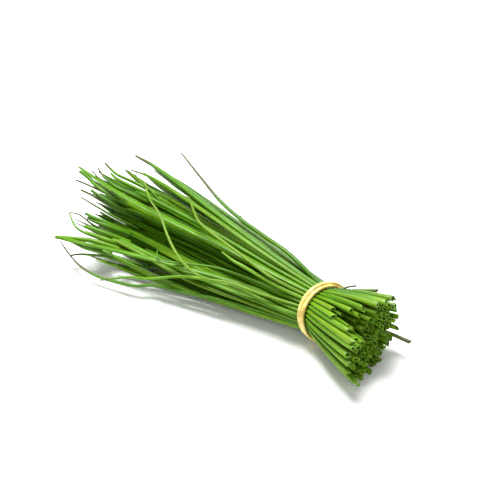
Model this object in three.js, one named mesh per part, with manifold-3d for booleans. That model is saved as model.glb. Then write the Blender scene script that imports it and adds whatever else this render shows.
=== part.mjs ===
// A bunch of cut chives, tied near its cut ends with one doubled rubber band and laid on its side.
//
// Millimetres, +Z up. The blades run along X: the cut ends point to +X and the tips to -X.
// The bunch is laid out with x = 0 at the band and z = 0 on the surface that it lies on, and the
// finished group is moved so that its origin is the middle of the bottom of its bounding box.
//
// The blades fill a round disc at the band, packed in rings like the wires of a cable: ring k has
// 6k blades. The disc swells a little towards the cut ends, and towards the tips it turns into a
// wide low fan with a valley between its upper part and its front part.

import * as THREE from 'three';
import { mergeVertices } from 'three/addons/utils/BufferGeometryUtils.js';
import Module from 'manifold-3d';

const wasm = await Module();
wasm.setup();

// Rings of blades at the band
const RINGS = 6;
const RING_PITCH = 2.28;
const BAND_HEIGHT = 18.5;
const SQUEEZED_RADIUS = 1.03;
const DISC_RADIUS = RINGS * RING_PITCH;

// Blades
const SEED = 20260719;
const DRAWS_PER_BLADE = 8;
const BLADE_RADIUS = { least: 1.25, spread: 0.65 };
const TIP_REACH = { longest: 197, shorter: 60, power: 1.6 };
const BROKEN = { share: 0.14, length: 0.74 };
const SHORTER_TIPS = [{ angle: 235, width: 35, amount: 0.3 }, { angle: 50, width: 20, amount: 0.14 }];
const TAPER = { start: 0.88, amount: 0.55, power: 1.3 };
const BORE = { rim: 0.55, depth: 3 };
const PRESSED = 0.75;

// Cut ends, to +X of the band. Short blades leave a notch at the top front, the front blades spread
// most, and a few strays stick out.
const CUT = { length: 35, longer: 2, slant: -4.5, jitter: 2.4, thicker: 0.6 };
const CUT_NOTCH = { angle: 122, width: 17, depth: 24 };
const SWELL = { over: 37, y: 0.88, z: 0.58, rise: 3.2, bend: 0.12, power: 0.9, splay: 0.15 };
const FRONT_SWELL = { angle: 215, width: 40, amount: 0.22 };
const CUT_STRAYS = [
  { ring: 6, slot: 3, length: 33, splay: 1.2, radius: 0.8 },
  { ring: 6, slot: 4, length: 22, splay: 1.5, radius: 1.3 },
  { ring: 6, slot: 20, length: 49, splay: 1.05, radius: 0.8 },
  { ring: 6, slot: 33, length: 46, splay: 1, radius: 0.85 },
];

// Fan of tips, to -X of the band: its outline, [y, z], at FAN_REACH, for every 20 degrees round the
// band. 0 is the back, 90 the top, 180 the front and 270 the bottom.
const FAN_REACH = 200;
const FAN_OUTLINE = [
  [37.5, 12.5], [34, 22.5], [26, 31], [14, 36], [1, 37.5], [-11, 36], [-22, 30.5], [-22.5, 15.5], [-39, 15],
  [-53, 17.5], [-67, 10.5], [-59, 2], [-44, 0.2], [-28, 0.2], [-11, 0.2], [6, 0.2], [22, 0.6], [35, 4],
];
const FAN_CENTRE = [-12, 9.5];
const FAN = { bend: 0.014, powerY: 1.02, powerZ: 2, thicker: 0.7 };

// Blades from below gather on top of the front part of the fan
const GATHER = { angle: 205, width: 60, amount: 0.28, from: 0.25, over: 0.5 };

// Inner blades draw together under the outer ring, and every blade wanders over the section as it runs
const INNER_FIT = { y: 0.82, z: 0.82, lift: 2, by: 0.3 };
const WANDER = { inner: 0.08, ring: 0.04, outer: 0.015, raise: 0.02, from: 0.08, over: 0.5 };
const WAVE = { pace: 0.6, morePace: 0.8 };
const SHARED_WAVE = { amount: 0.05, pace: 0.8, round: 2 };

// Blades of the outer ring that leave it LOOSE_FROM past the band, by slot, with their points [x, y, z]
const LOOSE_FROM = 5;
const LOOSE = {
  7: {
    radius: 1.3,
    route: [[-35, 8, 37.5], [-60, 10.5, 38], [-79, 12, 39], [-98.5, 14.5, 41.5], [-120.5, 19, 47],
      [-142, 23.5, 53]],
  },
  8: {
    radius: 1.7,
    route: [[-40.5, 2.5, 35.5], [-72.5, 5, 37], [-106.5, 9, 38], [-138.5, 14, 38], [-164, 17.5, 37],
      [-180.5, 18.5, 36]],
  },
  9: {
    radius: 1.5,
    route: [[-47, -1.5, 37], [-75.5, 0.5, 38], [-105.5, 4, 37.5], [-133.5, 6.5, 37], [-158.5, 9, 35],
      [-174, 8, 33]],
  },
  11: {
    radius: 1.9,
    route: [[-33.5, -6.5, 32], [-62, -8.5, 33], [-90.5, -11, 33], [-118.5, -14, 33.5],
      [-148, -16, 34], [-174, -16.5, 35], [-198.5, -15, 35]],
  },
  12: {
    radius: 1.05,
    route: [[-32.5, -12, 34], [-56.5, -11.5, 37], [-78, -11, 39.5], [-92, -10, 41.5],
      [-104, -3.5, 42], [-116, 4.5, 41]],
  },
  13: {
    radius: 1.15,
    route: [[-24.5, -11.5, 30], [-37.5, -13, 31], [-50, -14.5, 32.5], [-59, -15.5, 33.5],
      [-67.5, -15.5, 35]],
  },
  14: {
    radius: 0.95,
    route: [[-28, -12, 26], [-46.5, -13.5, 25], [-70, -19, 24], [-84, -30, 25.5], [-94.5, -38, 26.5],
      [-101, -37, 26.5], [-104.5, -33, 27]],
  },
  15: {
    radius: 1.1,
    route: [[-31.5, -19.5, 25.5], [-51.5, -25, 26], [-64.5, -32, 26], [-76, -33.5, 27],
      [-90, -31, 30], [-103, -26, 34], [-117.5, -18.5, 38.5], [-130.5, -14.5, 41.5], [-148, -3, 41]],
  },
  16: {
    radius: 1.7,
    route: [[-18, -14.3, 22.9], [-35.5, -15, 22.5], [-54.5, -18, 21], [-74.5, -27, 22.5],
      [-96, -35.5, 23], [-118, -43.5, 22], [-139, -50, 20], [-156, -55.5, 18], [-171, -59.5, 16]],
  },
  17: {
    radius: 1.35,
    route: [[-15, -16.3, 20.8], [-32, -19, 21], [-52, -24.5, 23], [-68.5, -29, 21.5],
      [-83.5, -35, 19], [-97.5, -46.5, 16], [-111, -52.5, 13], [-126, -62, 8]],
  },
  20: {
    radius: 1.2,
    route: [[-24, -17.6, 13.4], [-60, -29.5, 12], [-80, -37.5, 10.5], [-97.5, -43, 9],
      [-107.5, -50, 7], [-120.5, -55, 6], [-132.5, -59, 6], [-146.5, -60.5, 7], [-159.5, -59, 9.5],
      [-170, -56.5, 12]],
  },
};
const LOOSE_TAPER = { start: 0.6, amount: 0.55, power: 1.5 };
const LOOSE_SWELL = 1.3;

// Faceting: rings along a blade as shares of its length, positive to the cut end, negative to the tip
const OUTER = { sides: 6, stations: [1, 1, 0.3, 0.09, -0.04, -0.17, -0.36, -0.56, -0.78, -1] };
const STRAND = {
  sides: 6,
  stations: [1, 1, 0.3, 0.09, -0.11, -0.22, -0.32, -0.42, -0.52, -0.62, -0.71, -0.8, -0.9, -1],
};
const INNER = { sides: 4, stations: [1, 1, 0.08, -0.06, -0.3, -0.55, -0.8, -1] };

// Hidden core that holds the inner blades together under the band
const CORE = { radius: 12, length: 6, sides: 18 };

// Rubber band: a closed loop of two turns, side by side below and crossing on top
const BAND = {
  gap: 1, halfWidth: 1, halfThickness: 0.75, apart: 2.2, crossing: 1.75, crossingPower: 3,
  lean: 0.34, leanAngle: 132, crossingAngle: 352, steps: 60, sides: 6,
};

const COLOURS = { leafDark: '#4f7a26', leafLight: '#86ab45', inner: '#557f2b', rubber: '#d9ae68' };
const ROUGHNESS = { leaf: 0.45, rubber: 0.55 };

const degrees = THREE.MathUtils.degToRad;
const smoothstep = THREE.MathUtils.smoothstep;
const clamp = THREE.MathUtils.clamp;

/** A linear congruential generator: the next draw, from 0 up to 1. */
function makeDraw(seed) {
  let state = seed;
  return () => {
    state = (Math.imul(1664525, state) + 1013904223) >>> 0;
    return state / 4294967296;
  };
}

/** Every blade of the bunch: its ring, its slot in the ring, its angle and its own draws. */
function layOutBlades() {
  const draw = makeDraw(SEED);
  const blades = [];
  for (let ring = 0; ring <= RINGS; ring++) {
    const count = Math.max(1, 6 * ring);
    const outer = ring === RINGS;
    const phase = outer ? 0 : draw();
    for (let slot = 0; slot < count; slot++) {
      const draws = Array.from({ length: DRAWS_PER_BLADE }, draw);
      blades.push({ ring, slot, outer, angle: (2 * Math.PI * (slot + phase)) / count, draws });
    }
  }
  return blades;
}

/** A point of the fan's outline: a closed Catmull-Rom curve through FAN_OUTLINE. */
function fanOutline(angle) {
  const count = FAN_OUTLINE.length;
  const place = (THREE.MathUtils.euclideanModulo(angle, 2 * Math.PI) / (2 * Math.PI)) * count;
  const index = Math.floor(place);
  const t = place - index;
  const point = (offset) => FAN_OUTLINE[(index + offset + count) % count];
  const [before, from, to, after] = [point(-1), point(0), point(1), point(2)];
  return [0, 1].map((axis) => {
    const [p0, p1, p2, p3] = [before[axis], from[axis], to[axis], after[axis]];
    const slope = p2 - p0;
    const curve = 2 * p0 - 5 * p1 + 4 * p2 - p3;
    const twist = 3 * p1 - p0 - 3 * p2 + p3;
    return 0.5 * (2 * p1 + slope * t + curve * t * t + twist * t * t * t);
  });
}

/** How far a blade's place in the leaning band is to -X of the band's middle. */
function bandLean(blade) {
  return BAND.lean * blade.ring * RING_PITCH * Math.cos(blade.angle - degrees(BAND.leanAngle));
}

/** A hump of height 1 over an angle in radians, round a middle and with a width in degrees. */
function hump(angle, middle, width) {
  const off = (angle - degrees(middle)) / degrees(width);
  return Math.exp(-off * off);
}

/** The entry of CUT_STRAYS for a blade, if it has one. */
function strayOf(blade) {
  return CUT_STRAYS.find((each) => each.ring === blade.ring && each.slot === blade.slot);
}

/** How far a blade reaches from the band's middle to its cut end and to its tip, along X. */
function reaches(blade) {
  const [cutDraw, tipDraw, , , , , , brokenDraw] = blade.draws;
  const share = blade.ring / RINGS;
  const notch = CUT_NOTCH.depth * share * share * hump(blade.angle, CUT_NOTCH.angle, CUT_NOTCH.width);
  const whole = CUT.length + share * (CUT.longer + CUT.slant * Math.cos(blade.angle)) - notch;
  const cut = strayOf(blade)?.length ?? whole + CUT.jitter * (2 * cutDraw - 1);
  const shorter = ({ angle, width, amount }) => amount * share * hump(blade.angle, angle, width);
  const trim = SHORTER_TIPS.reduce((left, each) => left - shorter(each), 1);
  const broken = !blade.outer && brokenDraw < BROKEN.share ? BROKEN.length : 1;
  const tip = (TIP_REACH.longest - TIP_REACH.shorter * tipDraw ** TIP_REACH.power) * trim * broken;
  return { cut, tip };
}

/** Cut side: the disc of rings, swollen by the distance from the leaning band. */
function cutPoint(blade, fromBand) {
  const run = fromBand / SWELL.over;
  const share = blade.ring / RINGS;
  const loosened = blade.outer ? SWELL.splay * blade.draws[7] ** 2 : 0;
  const front = FRONT_SWELL.amount * share * hump(blade.angle, FRONT_SWELL.angle, FRONT_SWELL.width);
  const splay = (strayOf(blade)?.splay ?? 1 + loosened) + front;
  const opened = splay * (Math.hypot(run, SWELL.bend) - SWELL.bend) ** SWELL.power;
  const radius = blade.ring * RING_PITCH;
  const y = radius * Math.cos(blade.angle) * (1 + SWELL.y * opened);
  const z = BAND_HEIGHT + radius * Math.sin(blade.angle) * (1 + SWELL.z * opened) + SWELL.rise * opened;
  const x = fromBand - bandLean(blade);
  return { centre: new THREE.Vector3(x, y, z), limit: SQUEEZED_RADIUS * (1 + CUT.thicker * opened) };
}

/** Where a blade has wandered to over the section, as an angle and a share of the outline. */
function wander(blade, run) {
  const [, , , turnPace, turnStart, ringPace, ringStart] = blade.draws;
  const wave = (pace, start) => Math.sin(2 * Math.PI * (run * (WAVE.pace + WAVE.morePace * pace) + start));
  const amount = smoothstep((run - WANDER.from) / WANDER.over, 0, 1);
  const share = blade.ring / RINGS;
  const turn = wave(turnPace, turnStart);
  const drift = wave(ringPace, ringStart);
  const gathered = GATHER.amount * smoothstep((run - GATHER.from) / GATHER.over, 0, 1);
  const angle = blade.angle - gathered * hump(blade.angle, GATHER.angle, GATHER.width);
  if (blade.outer) {
    const shared = Math.sin(2 * Math.PI * SHARED_WAVE.pace * run + SHARED_WAVE.round * blade.angle);
    return {
      angle: angle + amount * (WANDER.outer * turn + SHARED_WAVE.amount * shared),
      share: share + amount * WANDER.raise * ringPace * (0.5 + 0.5 * drift),
    };
  }
  return {
    angle: angle + amount * WANDER.inner * turn,
    share: Math.min(share + amount * WANDER.ring * drift * (1 - 0.5 * share), (RINGS - 1) / RINGS),
  };
}

/** Tip side: the disc turns into the fan. */
function tipPoint(blade, fromBand) {
  const run = clamp(fromBand / FAN_REACH, 0, 1);
  const opened = Math.hypot(run, FAN.bend) - FAN.bend;
  const { angle, share } = wander(blade, run);
  const drawn = blade.outer ? 0 : smoothstep(run / INNER_FIT.by, 0, 1);
  const fitY = 1 - (1 - INNER_FIT.y) * drawn;
  const fitZ = 1 - (1 - INNER_FIT.z) * drawn;
  const lift = INNER_FIT.lift * drawn * share * (0.5 - 0.5 * Math.sin(angle)) ** 2;
  const blendY = opened ** FAN.powerY;
  const blendZ = 1 - (1 - opened) ** FAN.powerZ;
  const [outlineY, outlineZ] = fanOutline(angle);
  const discY = DISC_RADIUS * share * Math.cos(angle);
  const discZ = DISC_RADIUS * share * Math.sin(angle);
  const outY = discY * (1 - blendY) + share * (outlineY - FAN_CENTRE[0]) * blendY;
  const outZ = discZ * (1 - blendZ) + share * (outlineZ - FAN_CENTRE[1]) * blendZ;
  const y = FAN_CENTRE[0] * blendY + outY * fitY;
  const z = BAND_HEIGHT + (FAN_CENTRE[1] - BAND_HEIGHT) * blendZ + outZ * fitZ + lift;
  const x = -fromBand - bandLean(blade);
  return { centre: new THREE.Vector3(x, y, z), limit: SQUEEZED_RADIUS * (1 + FAN.thicker * opened) };
}

/** The centres and radii of a blade's rings, from its cut end to its tip. */
function followBlade(blade, stations) {
  const { cut, tip } = reaches(blade);
  const free = BLADE_RADIUS.least + BLADE_RADIUS.spread * blade.draws[2];
  const loose = blade.outer ? LOOSE[blade.slot] : undefined;
  return stations.map((share) => {
    let ring;
    let full = free;
    if (share > 0) {
      ring = cutPoint(blade, share * (cut + bandLean(blade)));
      full = strayOf(blade)?.radius ?? free;
    } else if (loose) {
      ring = loosePoint(blade, loose, -share);
      full = loose.radius * (1 - LOOSE_TAPER.amount * taper(-share, LOOSE_TAPER));
    } else {
      ring = tipPoint(blade, -share * (tip - bandLean(blade)));
      full = free * (1 - TAPER.amount * taper(-share, TAPER));
    }
    const radius = Math.min(full, ring.limit);
    ring.centre.z = Math.max(ring.centre.z, PRESSED * radius);
    return { centre: ring.centre, radius };
  });
}

/** 0 up to the start of a taper, then rising to 1 at the tip. */
function taper(share, { start, power }) {
  return Math.max(0, (share - start) / (1 - start)) ** power;
}

/** A blade that leaves the bunch: a curve from its place at the band through its own points. */
function loosePoint(blade, { route }, share) {
  const start = [0, LOOSE_FROM].map((fromBand) => tipPoint(blade, fromBand).centre);
  const points = [...start, ...route.map((point) => new THREE.Vector3(...point))];
  const centre = new THREE.CatmullRomCurve3(points, false, 'centripetal').getPoint(share);
  return { centre, limit: SQUEEZED_RADIUS + LOOSE_SWELL * share };
}

/**
 * A closed blade: a cylinder whose rings are carried to `rings`. The first ring is the mouth of the
 * hollow in the cut end, and the middle of that end cap is its bottom.
 */
function bladeGeometry(rings, sides) {
  const last = rings.length - 1;
  const geometry = plainGeometry(new THREE.CylinderGeometry(1, 1, 1, sides, last, false, Math.PI / sides));
  const position = geometry.getAttribute('position');
  const up = new THREE.Vector3(0, 0, 1);
  for (let i = 0; i < position.count; i++) {
    const across = position.getX(i);
    const over = position.getZ(i);
    const index = Math.round((0.5 - position.getY(i)) * last);
    const { centre, radius } = rings[index];
    const before = rings[Math.max(index - 1, 0)].centre;
    const after = rings[index < 2 ? 2 : Math.min(index + 1, last)].centre;
    const back = new THREE.Vector3().subVectors(index < 2 ? centre : before, after).normalize();
    const side = new THREE.Vector3().crossVectors(back, up).normalize();
    const top = new THREE.Vector3().crossVectors(side, back);
    const reach = index === 0 ? radius * BORE.rim : radius;
    const point = centre.clone().addScaledVector(side, across * reach).addScaledVector(top, over * reach);
    if (index === 0 && Math.hypot(across, over) < 0.5) {
      point.addScaledVector(back, -BORE.depth);
    }
    position.setXYZ(i, point.x, point.y, Math.max(point.z, 0));
  }
  return geometry;
}

/** A three.js shape with only its positions, and the vertices that its faces share merged. */
function plainGeometry(geometry) {
  geometry.deleteAttribute('normal');
  geometry.deleteAttribute('uv');
  return mergeVertices(geometry, 1e-5);
}

/** The rubber band: a strand of oval section along its closed loop of two turns. */
function bandGeometry() {
  const { halfWidth, halfThickness, sides, steps } = BAND;
  const inside = DISC_RADIUS + SQUEEZED_RADIUS + BAND.gap + halfThickness;
  const loopPoint = (turn) => {
    const half = turn / 2;
    const angle = turn + degrees(BAND.crossingAngle) - Math.PI;
    const over = ((1 + Math.sin(half)) / 2) ** BAND.crossingPower;
    const radius = inside + BAND.crossing * over;
    const leaning = BAND.lean * radius * Math.cos(angle - degrees(BAND.leanAngle));
    const x = (BAND.apart / 2) * Math.cos(half) - leaning;
    return { x, angle, radius };
  };
  const geometry = new THREE.TorusGeometry(1, 0.5, sides, steps);
  const torus = plainGeometry(geometry);
  const position = torus.getAttribute('position');
  for (let i = 0; i < position.count; i++) {
    const vertex = new THREE.Vector3().fromBufferAttribute(position, i);
    const round = Math.atan2(vertex.y, vertex.x);
    const outwards = (Math.hypot(vertex.x, vertex.y) - 1) / 0.5;
    const { x, angle, radius } = loopPoint(2 * round);
    const reach = radius + halfThickness * outwards;
    const along = x + halfWidth * (vertex.z / 0.5);
    position.setXYZ(i, along, reach * Math.cos(angle), BAND_HEIGHT + reach * Math.sin(angle));
  }
  return torus;
}

/** A closed three.js shape as a solid that can be joined. */
function toSolid(geometry) {
  const vertProperties = new Float32Array(geometry.getAttribute('position').array);
  const triVerts = new Uint32Array(geometry.index.array);
  return new wasm.Manifold(new wasm.Mesh({ numProp: 3, vertProperties, triVerts }));
}

/** A joined solid back as a three.js shape. */
function fromSolid(solid) {
  const { vertProperties, triVerts } = solid.getMesh();
  const geometry = new THREE.BufferGeometry();
  geometry.setAttribute('position', new THREE.BufferAttribute(vertProperties, 3));
  geometry.setIndex(new THREE.BufferAttribute(triVerts, 1));
  return geometry;
}

/**
 * The inner blades and the short core at the band, joined into one solid. Small pockets that
 * crossing blades close off are shells of their own, and are left out, which fills them.
 */
function innerGeometry(blades) {
  const core = plainGeometry(new THREE.CylinderGeometry(CORE.radius, CORE.radius, CORE.length, CORE.sides));
  core.rotateZ(Math.PI / 2);
  core.translate(0, 0, BAND_HEIGHT);
  let solid = toSolid(core);
  for (const blade of blades) {
    solid = solid.add(toSolid(bladeGeometry(followBlade(blade, INNER.stations), INNER.sides)));
  }
  return fromSolid(solid.decompose().reduce((most, each) => (each.volume() > most.volume() ? each : most)));
}

/** A named mesh with its own plain material. */
function makeMesh(name, geometry, colour, roughness) {
  geometry.computeVertexNormals();
  const material = new THREE.MeshStandardMaterial({ color: colour, roughness, metalness: 0 });
  const mesh = new THREE.Mesh(geometry, material);
  mesh.name = name;
  return mesh;
}

const blades = layOutBlades();
const bunch = new THREE.Group();
const innerBlades = innerGeometry(blades.filter((blade) => !blade.outer));
bunch.add(makeMesh('inner_blades', innerBlades, COLOURS.inner, ROUGHNESS.leaf));
for (const blade of blades.filter((each) => each.outer)) {
  const tone = new THREE.Color(COLOURS.leafDark).lerp(new THREE.Color(COLOURS.leafLight), blade.draws[7]);
  const name = `outer_blade_${String(blade.slot + 1).padStart(2, '0')}`;
  const { stations, sides } = LOOSE[blade.slot] ? STRAND : OUTER;
  bunch.add(makeMesh(name, bladeGeometry(followBlade(blade, stations), sides), tone, ROUGHNESS.leaf));
}
bunch.add(makeMesh('rubber_band', bandGeometry(), COLOURS.rubber, ROUGHNESS.rubber));

const box = new THREE.Box3().setFromObject(bunch);
bunch.position.set(-(box.min.x + box.max.x) / 2, -(box.min.y + box.max.y) / 2, -box.min.z);

const group = new THREE.Group();
group.add(bunch);
export default group;
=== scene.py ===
import bpy
import numpy as np
from mathutils import Matrix, Vector


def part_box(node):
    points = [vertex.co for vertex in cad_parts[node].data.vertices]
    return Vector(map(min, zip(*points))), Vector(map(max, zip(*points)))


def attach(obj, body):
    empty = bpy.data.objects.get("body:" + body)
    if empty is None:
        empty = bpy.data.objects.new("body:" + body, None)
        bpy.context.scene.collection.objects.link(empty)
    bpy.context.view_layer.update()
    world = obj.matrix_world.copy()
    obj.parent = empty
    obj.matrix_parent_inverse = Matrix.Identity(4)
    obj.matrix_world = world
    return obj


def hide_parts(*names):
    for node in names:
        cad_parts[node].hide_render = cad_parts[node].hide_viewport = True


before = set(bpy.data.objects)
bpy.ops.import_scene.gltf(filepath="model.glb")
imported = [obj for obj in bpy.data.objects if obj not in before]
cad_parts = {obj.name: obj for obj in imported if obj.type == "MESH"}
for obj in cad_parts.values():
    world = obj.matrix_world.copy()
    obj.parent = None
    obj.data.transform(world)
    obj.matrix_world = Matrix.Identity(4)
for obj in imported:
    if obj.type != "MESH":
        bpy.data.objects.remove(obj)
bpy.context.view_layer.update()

# The bunch is worked out in millimetres, with x = 0 at the middle of the band, +X to the cut
# ends, -X to the tips and z = 0 on the table. place() carries it into the frame, in metres.
# Angles go round the band: 0 back, 90 top, 180 front, 270 bottom.
millimetre = 0.001

bunch = {
    "seed": 20260719,            # every blade's own numbers come from this
    "draws": 2000,               # more than the blades take
    "drawsPerBlade": 8,
    "rings": 6,                  # ring k holds 6k blades
    "ringPitch": 2.28,
    "bandHeight": 18.5,          # middle of the band above the table
    "squeezedRadius": 1.03,      # a blade under the band
    "radius": (1.25, 0.65),      # a free blade: least, and what the draw adds
    "longestTip": 197, "shorterTip": 60, "tipPower": 1.6,
    "brokenShare": 0.14, "brokenLength": 0.74,           # inner blades that lost their tips
    "trims": [(235, 35, 0.3), (50, 20, 0.14)],           # shorter blades: angle, width and amount
    "innerTrims": [(156, 22, 0.15), (180, 14, 0.17)],    # the same, for inner blades alone
    "taper": (0.88, 0.55, 1.3),  # start, amount and power
    "pressed": 0.75,             # lowest middle, in radii, where a blade lies on the table
}
bunch["discRadius"] = bunch["rings"] * bunch["ringPitch"]


def smoothstep(t):
    # 3t^2 - 2t^3, from 0 to 1
    t = np.clip(t, 0, 1)
    return t * t * (3 - 2 * t)


def bell(angle, middle, width):
    # e to the power of -((angle - middle) / width)^2, with middle and width in degrees
    return np.exp(-((angle - np.radians(middle)) / np.radians(width)) ** 2)


def taper(share, start, amount, power):
    # 1 up to start, then 1 - amount ((share - start) / (1 - start))^power
    return 1 - amount * np.clip((share - start) / (1 - start), 0, None) ** power


def makeDraws(seed, count):
    # state = 1664525 state + 1013904223 (mod 2^32); a draw is state / 2^32
    draws = np.empty(count)
    for i in range(count):
        seed = (1664525 * seed + 1013904223) % 2 ** 32
        draws[i] = seed / 2 ** 32
    return draws


def layOutBlades():
    # ring k: slots j = 0..6k-1 at the angle 2 pi (j + phase) / 6k, each with its own draws
    stream = iter(makeDraws(bunch["seed"], bunch["draws"]))
    rows = []
    for ring in range(bunch["rings"] + 1):
        count = max(1, 6 * ring)
        phase = 0 if ring == bunch["rings"] else next(stream)
        for slot in range(count):
            own = [next(stream) for _ in range(bunch["drawsPerBlade"])]
            rows.append([ring, slot, 2 * np.pi * (slot + phase) / count] + own)
    rows = np.array(rows)
    return {"ring": rows[:, 0], "slot": rows[:, 1], "angle": rows[:, 2], "draws": rows[:, 3:],
            "outer": rows[:, 0] == bunch["rings"], "share": rows[:, 0] / bunch["rings"]}


def pick(blades, mask):
    # the blades where mask is true
    return {name: values[mask] for name, values in blades.items()}


def isBlade(blades, ring, slot):
    # true for the one blade at this ring and slot
    return (blades["ring"] == ring) & (blades["slot"] == slot)


# a loop wound twice round the bunch, whose turns lie side by side and cross once
band = {
    "gap": 0.5,                  # between the squeezed blades and the band
    "halfWidth": 1.24, "halfThickness": 0.94,
    "corner": 0.75,              # 1 gives an oval section, less a squarer one
    "apart": 2.2,                # between the middles of the two turns
    "crossing": 1.6,             # how far one turn rises over the other, at crossingAngle
    "crossingPower": 3, "crossingAngle": 352,
    "lean": 0.34, "leanAngle": 132,          # the side at leanAngle lies this much further back
    "steps": 400, "sides": 16,
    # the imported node's own measures, from which its place is found
    "inFrame": {"gap": 1.0, "halfWidth": 1.0, "halfThickness": 0.75, "crossing": 1.75,
                "steps": 60, "sides": 6},
}


def bandLean(blades):
    # how far back a blade's place in the leaning band lies: lean times its height towards leanAngle
    height = bunch["ringPitch"] * blades["ring"] * np.cos(blades["angle"] - np.radians(band["leanAngle"]))
    return band["lean"] * height


def bandLoop(turn, gap, halfThickness, crossing):
    # turn 0..4 pi: x = apart/2 cos(turn/2) - lean r cos(angle - leanAngle),
    # r = inside + crossing ((1 + sin(turn/2)) / 2)^power
    inside = bunch["discRadius"] + bunch["squeezedRadius"] + gap + halfThickness
    angle = turn + np.radians(band["crossingAngle"]) - np.pi
    radius = inside + crossing * ((1 + np.sin(turn / 2)) / 2) ** band["crossingPower"]
    leaning = band["lean"] * radius * np.cos(angle - np.radians(band["leanAngle"]))
    return band["apart"] / 2 * np.cos(turn / 2) - leaning, angle, radius


def placeOfFrame():
    # the frame's origin in the bunch's own millimetres: middle of the band less middle of its node's box
    low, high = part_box("rubber_band")
    packed = band["inFrame"]
    turn = np.linspace(0, 4 * np.pi, packed["steps"], endpoint=False)[:, None]
    around = np.linspace(0, 2 * np.pi, packed["sides"], endpoint=False)
    x, angle, radius = bandLoop(turn, packed["gap"], packed["halfThickness"], packed["crossing"])
    xs = x + packed["halfWidth"] * np.sin(around)
    ys = (radius + packed["halfThickness"] * np.cos(around)) * np.cos(angle)
    middle = np.array([xs.min() + xs.max(), ys.min() + ys.max(), 0]) / 2
    return middle - np.array([low.x + high.x, low.y + high.y, 0]) / 2 / millimetre


frameOrigin = placeOfFrame()


def place(points):
    # millimetres of the bunch to metres of the frame
    return (points - frameOrigin) * millimetre


# the stalks between the band and their cut ends; a notch at the top front shows the end face
cutEnds = {
    "length": 35, "longer": 2, "slant": -4.5, "jitter": 2.4,    # middle, outside, back to front, by draw
    "notch": (122, 17, 24),      # angle, width and amount
    "unit": 37, "bend": 0.08, "power": 0.75,                    # how the stalks open with the run
    "swellY": 0.86, "swellZ": 0.56, "rise": 3.2, "thicker": 0.6, "splay": 0.15,
    "wander": 0.028,             # how far each stalk turns aside
    "gather": (0.07, 4, 1.0),    # how far they turn aside together, how many times round, and per ring
    "swells": [(215, 40, 0.22), (60, 30, 0.18)],                # wider here: angle, width and amount
    "strays": {(6, 3): (33, 1.2, 0.8), (6, 4): (22, 1.5, 1.3),  # ring, slot: length, splay and radius
               (6, 20): (49, 1.05, 0.8), (6, 33): (46, 0.97, 1.15)},
}


def reaches(blades):
    # how far each blade runs from the band's middle along X: to its cut end, length + longer share
    # + slant share cos(angle) less the notch, and to its tip, longest - shorter draw^power, trimmed
    draws, angle, share = blades["draws"], blades["angle"], blades["share"]
    middle, width, deep = cutEnds["notch"]
    cut = (cutEnds["length"] + cutEnds["longer"] * share + cutEnds["slant"] * share * np.cos(angle)
           - deep * share ** 2 * bell(angle, middle, width) + cutEnds["jitter"] * (2 * draws[:, 0] - 1))
    for (ring, slot), (length, _, _) in cutEnds["strays"].items():
        cut[isBlade(blades, ring, slot)] = length
    trim = 1
    for trims, chosen in ((bunch["trims"], 1), (bunch["innerTrims"], ~blades["outer"])):
        for middle, width, amount in trims:
            trim = trim - amount * share * bell(angle, middle, width) * chosen
    broken = np.where((draws[:, 7] < bunch["brokenShare"]) & ~blades["outer"], bunch["brokenLength"], 1)
    tip = (bunch["longestTip"] - bunch["shorterTip"] * draws[:, 1] ** bunch["tipPower"]) * trim * broken
    return cut, tip


def cutSide(blades, fromBand):
    # y = y0 (1 + swellY o), z = band + z0 (1 + swellZ o) + rise o, o = splay (hypot(run, bend) - bend)^power;
    # y0, z0 is the place under the band, turned by o (wander draw + gather sin(rounds angle + turn ring))
    run = fromBand / cutEnds["unit"]
    splay = 1 + cutEnds["splay"] * blades["draws"][:, 7] ** 2 * blades["outer"]
    for (ring, slot), (_, wider, _) in cutEnds["strays"].items():
        splay[isBlade(blades, ring, slot)] = wider
    for middle, width, amount in cutEnds["swells"]:
        splay = splay + amount * blades["share"] * bell(blades["angle"], middle, width)
    opened = (np.hypot(run, cutEnds["bend"]) - cutEnds["bend"]) ** cutEnds["power"] * splay[:, None]
    together, rounds, turn = cutEnds["gather"]
    aside = (cutEnds["wander"] * (2 * blades["draws"][:, 3] - 1)
             + together * np.sin(rounds * blades["angle"] + turn * blades["ring"]))
    angle = blades["angle"][:, None] + aside[:, None] * opened
    radius = (blades["ring"] * bunch["ringPitch"])[:, None]
    x = fromBand - bandLean(blades)[:, None]
    y = radius * np.cos(angle) * (1 + cutEnds["swellY"] * opened)
    height = radius * np.sin(angle) * (1 + cutEnds["swellZ"] * opened)
    z = bunch["bandHeight"] + height + cutEnds["rise"] * opened
    return np.stack([x, y, z], 2), bunch["squeezedRadius"] * (1 + cutEnds["thicker"] * opened)


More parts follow.
